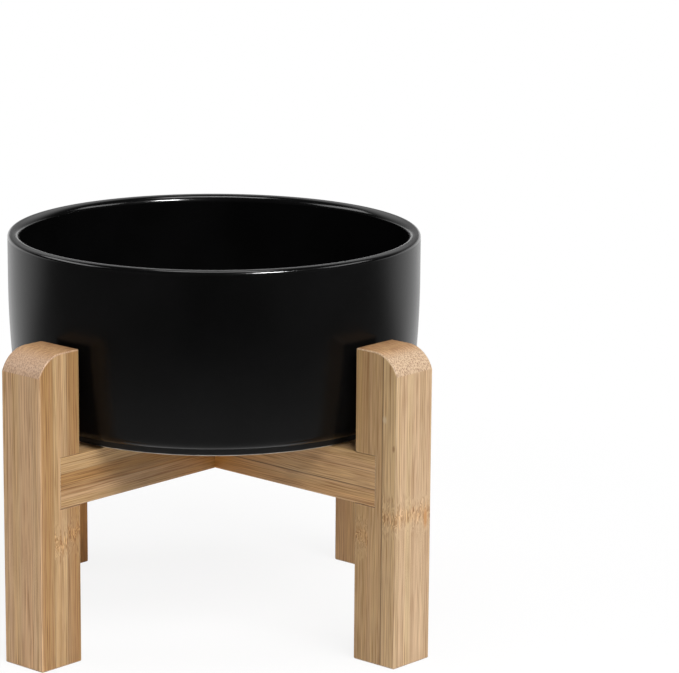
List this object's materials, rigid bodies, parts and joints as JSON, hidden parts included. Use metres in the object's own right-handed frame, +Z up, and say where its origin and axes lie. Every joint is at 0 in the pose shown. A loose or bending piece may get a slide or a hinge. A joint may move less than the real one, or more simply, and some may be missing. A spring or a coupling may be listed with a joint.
{
  "type": "elevated dog bowl",
  "caption": "Straight-sided black ceramic pet bowl that lifts out of a low bamboo stand with crossed rails and square posts, for serving food or water at a raised height.",
  "frame": {"origin": "on the floor, at the middle of the four feet and on the bowl's axis", "axes": "+Z up along the bowl's axis, -Y towards the viewer of the picture, posts on the diagonals of X and Y"},
  "size_m": [0.178, 0.178, 0.1702],
  "materials": {
    "glaze": "satin black glaze",
    "bamboo": "clear satin lacquer over laminated bamboo",
    "dowel_wood": "bare turned wood"
  },
  "bodies": {
    "stand": {"upper_rail": "bamboo", "lower_rail": "bamboo", "front_left_leg": "bamboo", "front_right_leg": "bamboo", "rear_right_leg": "bamboo", "rear_left_leg": "bamboo", "front_left_dowels": "dowel_wood", "front_right_dowels": "dowel_wood", "rear_right_dowels": "dowel_wood", "rear_left_dowels": "dowel_wood"},
    "bowl": {"bowl": "glaze"}
  },
  "joints": [
    {"name": "bowl_lift", "type": "slide", "parent": "stand", "child": "bowl", "axis": [0, 0, 1], "range_m": [0, 0.08]}
  ]
}
